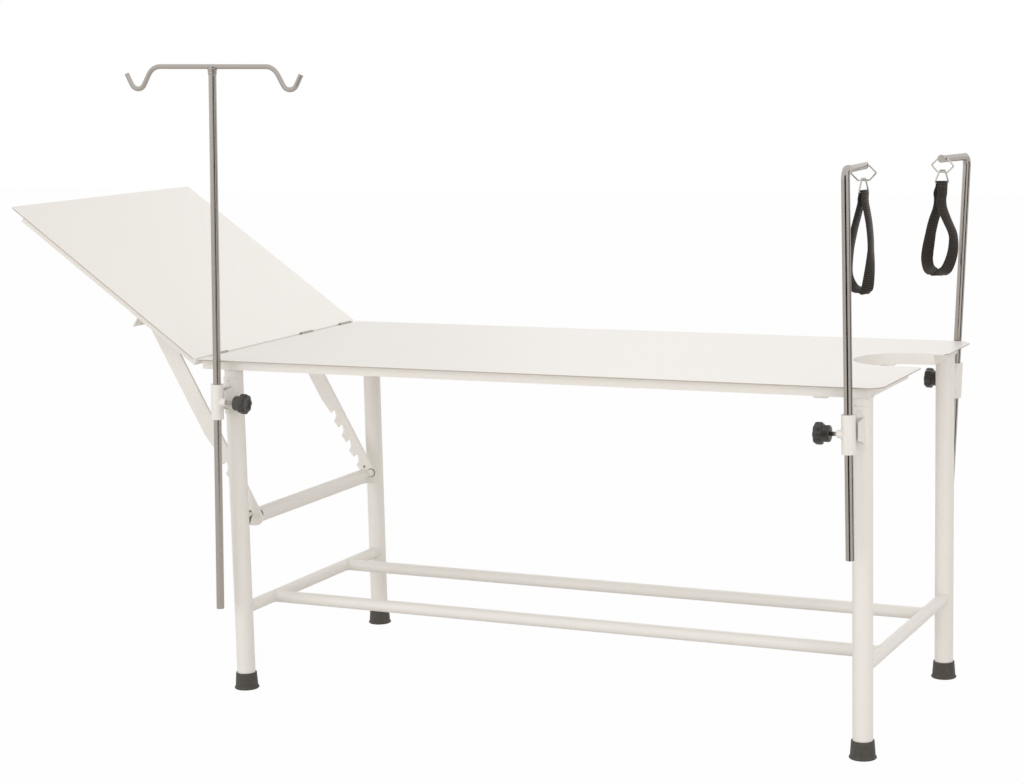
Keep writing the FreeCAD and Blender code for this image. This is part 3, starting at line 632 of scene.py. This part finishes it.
def weldLegs():
    # a bead where each leg meets the rail, and one where each end stretcher meets its legs
    leg = weld["leg"]
    for side in ("near", "far"):
        for end in ("head", "foot"):
            middle, size = nodeMiddle("leg_%s_%s" % (side, end))
            reach, top = leg + weld["legStandoff"], middle.z + size.z / 2 - weld["legInset"]
            ring = [Vector((middle.x + reach * math.cos(a), middle.y + reach * math.sin(a), top))
                    for a in angles(weld["steps"])]
            weldRing("weldLegTop_%s_%s" % (side, end), ring, weld["radius"])
            across, spread = nodeMiddle("stretcher_" + end)
            bar = spread.z / 2 + weld["saddleStandoff"]
            toward = -1 if side == "far" else 1
            saddle = []
            for a in angles(weld["steps"]):
                x, z = bar * math.cos(a), bar * math.sin(a)
                y = math.sqrt(max((leg + weld["saddleStandoff"]) ** 2 - x * x, 0.0))
                saddle.append(Vector((middle.x + x, middle.y + toward * y, across.z + z)))
            weldRing("weldStretcher_%s_%s" % (side, end), saddle, weld["saddleRadius"])


def weldLongStretchers():
    # equal tubes meeting in a T: the bead runs down both flanks of the cross tube
    for side in ("near", "far"):
        along, size = nodeMiddle("stretcher_" + side)
        for end, toward in (("head", 1), ("foot", -1)):
            across, _ = nodeMiddle("stretcher_" + end)
            bar = size.z / 2 + weld["thinStandoff"]
            ring = []
            for a in angles(weld["steps"]):
                y, z = bar * math.cos(a), bar * math.sin(a)
                x = math.sqrt(max((bar + weld["crossSlack"]) ** 2 - z * z, 0.0))
                ring.append(Vector((across.x + toward * x, along.y + y, along.z + z)))
            weldRing("weldLong_%s_%s" % (side, end), ring, weld["thinRadius"])


def weldGrip():
    # the grip tube is welded between the two racks
    middle, size = nodeMiddle("grip_tube")
    bar = size.z / 2 + weld["thinStandoff"]
    for name, toward in (("near", -1), ("far", 1)):
        y = middle.y + toward * (size.y / 2 - weld["gripInset"])
        ring = [Vector((middle.x + bar * math.cos(a), y, middle.z + bar * math.sin(a)))
                for a in angles(weld["steps"])]
        weldRing("weldGrip_" + name, ring, weld["thinRadius"], "prop")


dripJoint = {
    # outline of the flare below the bar: radius and height under the rod's top, in millimetres
    "flare": ((8.05, -17), (8.9, -15), (9.2, -12), (8.8, -10), (9.6, -7), (10.4, -4.6), (9.8, -3.4),
              (8.0, -3.0)),
    "beadAcross": 4.6 * mm, "beadAlong": 8.2 * mm, "barReach": 5.2 * mm, "beadLift": 0.1 * mm,
}


def weldDripBar():
    # the rod is flattened a little and welded to the hook bar, so it flares below the joint
    _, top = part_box("drip_rod")
    axis = Vector(joints["drip_slide"]["axis"]).normalized()
    foot = Vector(joints["knob_turn_drip"]["pos_m"])
    place = foot + axis * ((top[2] - foot.z) / axis.z)
    flare = [(radius * mm, height * mm) for radius, height in dripJoint["flare"]]
    collar = turnedPiece("dripCollar", flare, place, axis, finishes["polished_steel"], "drip_pole", 40)
    ring = []
    for a in angles(weld["steps"]):
        y, x = dripJoint["beadAcross"] * math.sin(a), dripJoint["beadAlong"] * math.cos(a)
        z = -math.sqrt(max(dripJoint["barReach"] ** 2 - y * y, 0.0))
        ring.append(place + Vector((x, y, z + dripJoint["beadLift"])))
    # the bead's dark colour is painted shade in the joint
    bead = beadPiece("weldDrip", ring, weld["radius"], jointShadeTint, "drip_pole")


# Rack bolts, the painted shade of the drilled holes beside them, rolled sheet edges and rail ends

boltShape = {
    "washerBore": 4.2 * mm, "washer": 9.6 * mm, "washerHead": 8.05 * mm, "thick": 0.9 * mm,
    "hole": 2.6 * mm, "holeBack": 18 * mm, "holeUp": 13 * mm,
    "lift": 0.05 * mm, "holeLift": 0.08 * mm,       # clear of the rack's face
}


def boltSeat(name, toward):
    # middle of an end bolt, on the inner face of its rack
    bolt = nodes["rack_end_bolts"]
    spots = [bolt.matrix_world @ v.co for v in bolt.data.vertices]
    own = [spot for spot in spots if (spot.y > 0) == (name == "far")]
    centre = sum(own, Vector()) / len(own)
    low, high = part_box("rack_" + name)
    return Vector((centre.x, high[1] if toward > 0 else low[1], centre.z))


def fitSpringWasher(name, toward):
    # spring washer behind the bolt's head, coloured dark: painted shade round the head
    lift, thick = boltShape["lift"], boltShape["thick"]
    ring = [(boltShape["washerBore"], lift), (boltShape["washer"], lift),
            (boltShape["washer"], thick), (boltShape["washerHead"], thick)]
    washer = turnedPiece("springWasher_" + name, ring, boltSeat(name, toward),
                         Vector((0, toward, 0)), shadeDarkSteel, "prop", 36)


def paintHoleShade(name, toward):
    # small drilled hole beside the bolt, drawn as a flat dark disc: the shade inside the hole painted on the
    # rack's face
    disc = [(0.0001, boltShape["holeLift"]), (boltShape["hole"], boltShape["holeLift"])]
    place = boltSeat(name, toward) + Vector((-boltShape["holeBack"], 0, boltShape["holeUp"]))
    hole = turnedPiece("holeShade_" + name, disc, place, Vector((0, toward, 0)), shadeDarkSteel, "prop", 24)


hem = {
    "reach": 5 * mm, "roll": 2.0 * mm, "lip": 3.5 * mm, "steps": 5,
    "hinges": (-236 * mm, 117 * mm, 291 * mm), "hingeHalf": 25 * mm,
    "nearInset": 6 * mm, "farInset": 2 * mm,
    "standoff": 0.1 * mm, "sunk": 0.05 * mm,        # of the strip's hidden side
}


def hemStrips(name, toward, body, lift):
    # rolled edge beside the hinge gap, left out where the hinges sit
    edgeX = hingeX - toward * hem["reach"]
    _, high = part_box("fixed_top_sheet")
    top, half = high[2], high[1]
    pivot = Vector(joints["back_hinge"]["pos_m"])
    turn = Matrix.Rotation(math.radians(lift), 3, "Y")
    profile = []
    for step in range(hem["steps"] + 1):
        a = math.pi / 2 * step / hem["steps"]
        profile.append((toward * hem["roll"] * math.sin(a), -hem["roll"] * (1 - math.cos(a))))
    bottom, inside = -hem["roll"] - hem["lip"], toward * hem["standoff"]
    profile += [(toward * hem["roll"], bottom), (inside, bottom), (inside, -hem["sunk"])]
    stops = [-half + hem["nearInset"]]
    for middle in hem["hinges"]:
        stops += [middle - hem["hingeHalf"], middle + hem["hingeHalf"]]
    stops.append(half - hem["farInset"])
    points, faces = [], []
    count = len(profile)
    for start, end in zip(stops[::2], stops[1::2]):
        base = len(points)
        for y in (start, end):
            for x, z in profile:
                spot = Vector((edgeX + x, y, top + z))
                points.append(pivot + turn @ (spot - pivot))
        for k in range(count):
            after = (k + 1) % count
            faces.append((base + k, base + after, base + count + after, base + count + k))
        faces.append(tuple(base + k for k in reversed(range(count))))
        faces.append(tuple(base + count + k for k in range(count)))
    # the strip's bright coat is a painted highlight along the hinge gap
    strip = meshPiece(name, points, faces, hemHighlightCoat, body, False)


railCap = {
    "wall": 1.6 * mm, "thickness": 1.5 * mm, "recess": 0.2 * mm,
    "faces": ((3, 2, 1, 0), (4, 5, 6, 7), (0, 1, 5, 4), (1, 2, 6, 5), (2, 3, 7, 6), (3, 0, 4, 7)),
}


def capRail(node, body, lift):
    # a thin plate welded into each open end of a rail and ground flush
    turn = Matrix.Rotation(math.radians(lift), 3, "Y")
    back = turn.transposed()
    spots = [back @ (nodes[node].matrix_world @ v.co) for v in nodes[node].data.vertices]
    low = Vector([min(spot[axis] for spot in spots) for axis in range(3)])
    high = Vector([max(spot[axis] for spot in spots) for axis in range(3)])
    points, faces = [], []
    for end, inward in ((low.x, 1), (high.x, -1)):
        base = len(points)
        near = end + inward * railCap["recess"]
        for x in sorted((near, near + inward * railCap["thickness"])):
            for y, z in ((low.y, low.z), (high.y, low.z), (high.y, high.z), (low.y, high.z)):
                y += math.copysign(railCap["wall"], (low.y + high.y) / 2 - y)
                z += math.copysign(railCap["wall"], (low.z + high.z) / 2 - z)
                points.append(turn @ Vector((x, y, z)))
        faces += [tuple(base + k for k in face) for face in railCap["faces"]]
    caps = meshPiece("endCaps_" + node, points, faces, finishes["powder_coat"], body, False)


for side in ("near", "far"):
    capRail("side_rail_" + side, "frame", 0)
    capRail("back_rail_" + side, "back_section", backLift)
print("rail ends closed")

weldLegs()
weldLongStretchers()
weldGrip()
weldDripBar()
print("weld beads made")

rackInsides = (("near", 1), ("far", -1))        # each rack and the way its inner face looks
for name, toward in rackInsides:
    fitSpringWasher(name, toward)
for name, toward in rackInsides:
    paintHoleShade(name, toward)
hemStrips("sheetHem", -1, "frame", 0)
hemStrips("backHem", 1, "back_section", backLift)
print("rack bolts and rolled edges made")


# Camera, light and floor

photoCamera = {
    "place": (2.07128, -4.22917, 1.3129),
    "yaw": 25.46, "pitch": 8.57, "roll": -1.38,
    "lens": 79.85, "sensor": 36.0, "farthest": 60.0,
}


def aimCamera():
    yaw, pitch, roll = (math.radians(photoCamera[key]) for key in ("yaw", "pitch", "roll"))
    level = Vector((-math.sin(yaw), math.cos(yaw), 0))
    forward = level * math.cos(pitch) - up * math.sin(pitch)
    right = Vector((math.cos(yaw), math.sin(yaw), 0))
    above = right.cross(forward)
    rightRolled = right * math.cos(roll) + above * math.sin(roll)
    aboveRolled = above * math.cos(roll) - right * math.sin(roll)
    data = bpy.data.cameras.new("photoCamera")
    data.lens, data.sensor_width = photoCamera["lens"], photoCamera["sensor"]
    data.sensor_fit, data.clip_end = "HORIZONTAL", photoCamera["farthest"]
    camera = bpy.data.objects.new("photoCamera", data)
    bpy.context.scene.collection.objects.link(camera)
    turn = Matrix((rightRolled, aboveRolled, -forward)).transposed()
    camera.matrix_world = Matrix.Translation(Vector(photoCamera["place"])) @ turn.to_4x4()
    bpy.context.scene.camera = camera


studio = {
    "fill": "#F2EEEA", "fillStrength": 0.89,
    "lamps": {
        "keyLeft": ((-2.6, -4.6, 1.4), 3.2, 52),
        "keyRight": ((3.6, -3.6, 1.3), 2.4, 38),
        "back": ((-0.4, 3.2, 2.8), 2.4, 16),
    },
    "aim": (0.0, 0.0, 0.7),
    # how far the floor is washed out to white: straight to the camera, and in the polished steel
    "floorSize": 30.0, "floorColour": "#DAD7D3", "floorVeil": 0.975, "floorMirrored": 0.5,
    # dark flags beside the camera: they give the polished poles their dark core lines
    "flags": {
        "front": ((1.0, -1.4, 0.75), 0.80, 1.8),
        "right": ((2.28, 0.21, 0.9), 0.75, 2.2),
        "headEnd": ((0.55, -2.3, 1.0), 0.35, 2.6),
    },
    "flagColour": "#1C1A18",
}


def lightStudio():
    scene = bpy.context.scene
    scene.view_settings.view_transform = "Standard"
    world = bpy.data.worlds.new("studio")
    scene.world = world
    world.use_nodes = True
    tree = world.node_tree
    for node in list(tree.nodes):
        tree.nodes.remove(node)
    rays = addNode(tree, "ShaderNodeLightPath")
    direct = addNode(tree, "ShaderNodeMath", {"operation": "MAXIMUM"}, {
        0: rays.outputs["Is Camera Ray"], 1: rays.outputs["Is Transmission Ray"]})
    seen = addNode(tree, "ShaderNodeMath", {"operation": "MAXIMUM"}, {
        0: direct.outputs["Value"], 1: rays.outputs["Is Glossy Ray"]})
    fill = addNode(tree, "ShaderNodeBackground", inputs={
        "Color": linear(studio["fill"]), "Strength": studio["fillStrength"]})
    white = addNode(tree, "ShaderNodeBackground", inputs={"Color": (1, 1, 1, 1), "Strength": 1.0})
    mix = addNode(tree, "ShaderNodeMixShader", inputs={
        0: seen.outputs["Value"], 1: fill.outputs[0], 2: white.outputs[0]})
    addNode(tree, "ShaderNodeOutputWorld", inputs={"Surface": mix.outputs[0]})
    for name, (place, size, power) in studio["lamps"].items():
        data = bpy.data.lights.new(name, "AREA")
        data.shape, data.size, data.energy = "SQUARE", size, power
        lamp = bpy.data.objects.new(name, data)
        scene.collection.objects.link(lamp)
        lamp.location = place
        # the poles show the flags and the white surround, not the lamps' own squares
        lamp.visible_glossy = name == "back"
        aim = Vector(studio["aim"]) - Vector(place)
        lamp.rotation_euler = aim.to_track_quat("-Z", "Y").to_euler()


def layFloor():
    half = studio["floorSize"] / 2
    mesh = bpy.data.meshes.new("floor")
    corners = [(-half, -half, 0), (half, -half, 0), (half, half, 0), (-half, half, 0)]
    mesh.from_pydata(corners, [], [(0, 1, 2, 3)])
    floor = bpy.data.objects.new("floor", mesh)
    bpy.context.scene.collection.objects.link(floor)
    # matt painted floor: pale, and burnt out to white for the camera apart from its shadow
    material, tree, shader = startMaterial("Studio floor, matt paint", Roughness=0.9,
                                           Base_Color=linear(studio["floorColour"]))
    rays = addNode(tree, "ShaderNodeLightPath")
    glow = addNode(tree, "ShaderNodeEmission", inputs={"Color": (1, 1, 1, 1), "Strength": 1.0})
    seen = addNode(tree, "ShaderNodeMath", {"operation": "MULTIPLY"}, {
        0: rays.outputs["Is Camera Ray"], 1: studio["floorVeil"]})
    mirrored = addNode(tree, "ShaderNodeMath", {"operation": "MULTIPLY"}, {
        0: rays.outputs["Is Glossy Ray"], 1: studio["floorMirrored"]})
    veil = addNode(tree, "ShaderNodeMath", {"operation": "MAXIMUM"}, {
        0: seen.outputs["Value"], 1: mirrored.outputs["Value"]})
    mix = addNode(tree, "ShaderNodeMixShader", inputs={
        0: veil.outputs["Value"], 1: shader.outputs[0], 2: glow.outputs[0]})
    output = tree.nodes["Material Output"]
    tree.links.new(mix.outputs[0], output.inputs["Surface"])
    mesh.materials.append(material)


def hangFlags():
    material = makePlain("Black molton, flat", studio["flagColour"], 1.0)
    for name, (place, width, height) in studio["flags"].items():
        mesh = bpy.data.meshes.new("flag_" + name)
        toward = Vector(studio["aim"]) - Vector(place)
        toward = Vector((toward.x, toward.y, 0)).normalized()
        side = toward.cross(up) * (width / 2)
        middle, rise = Vector(place), up * (height / 2)
        corners = [middle - side - rise, middle + side - rise,
                   middle + side + rise, middle - side + rise]
        mesh.from_pydata([tuple(c) for c in corners], [], [(0, 1, 2, 3)])
        mesh.materials.append(material)
        flag = bpy.data.objects.new("flag_" + name, mesh)
        bpy.context.scene.collection.objects.link(flag)
        flag.visible_camera = False
        flag.visible_diffuse = False
        flag.visible_shadow = False


aimCamera()
lightStudio()
hangFlags()
layFloor()
print("camera and studio ready")
